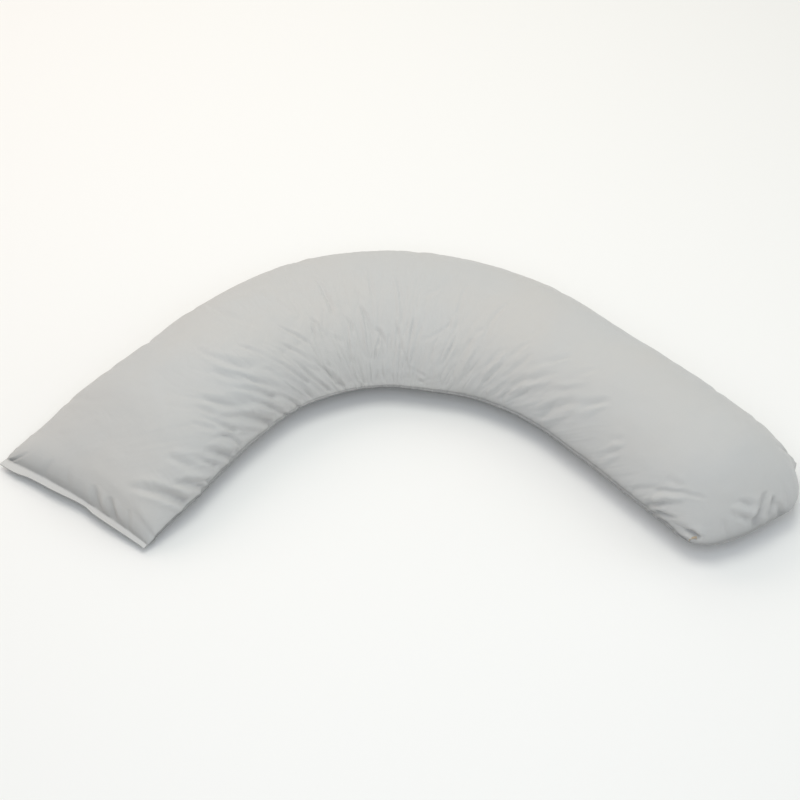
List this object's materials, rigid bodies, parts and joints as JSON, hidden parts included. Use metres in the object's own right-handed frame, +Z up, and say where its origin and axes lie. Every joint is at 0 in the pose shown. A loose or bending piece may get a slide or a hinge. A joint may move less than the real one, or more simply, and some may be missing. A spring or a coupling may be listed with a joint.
{
  "type": "body pillow",
  "caption": "Long filled body pillow lying on its back in an open bend, with a flat stitched flange at one end, a turned round end and creases fanning out of the inner seam.",
  "frame": {"origin": "on the floor, under the middle of the pillow's outline as it lies on its back", "axes": "+Z up off the floor; +X from the flanged end to the turned end, along the pillow's longest extent; the bend opens towards -Y"},
  "size_m": [1.6052, 0.8054, 0.189],
  "materials": {
    "pillow_cotton": "smooth plain weave, matt"
  },
  "bodies": {
    "root": {"pillow": "pillow_cotton"}
  },
  "joints": []
}
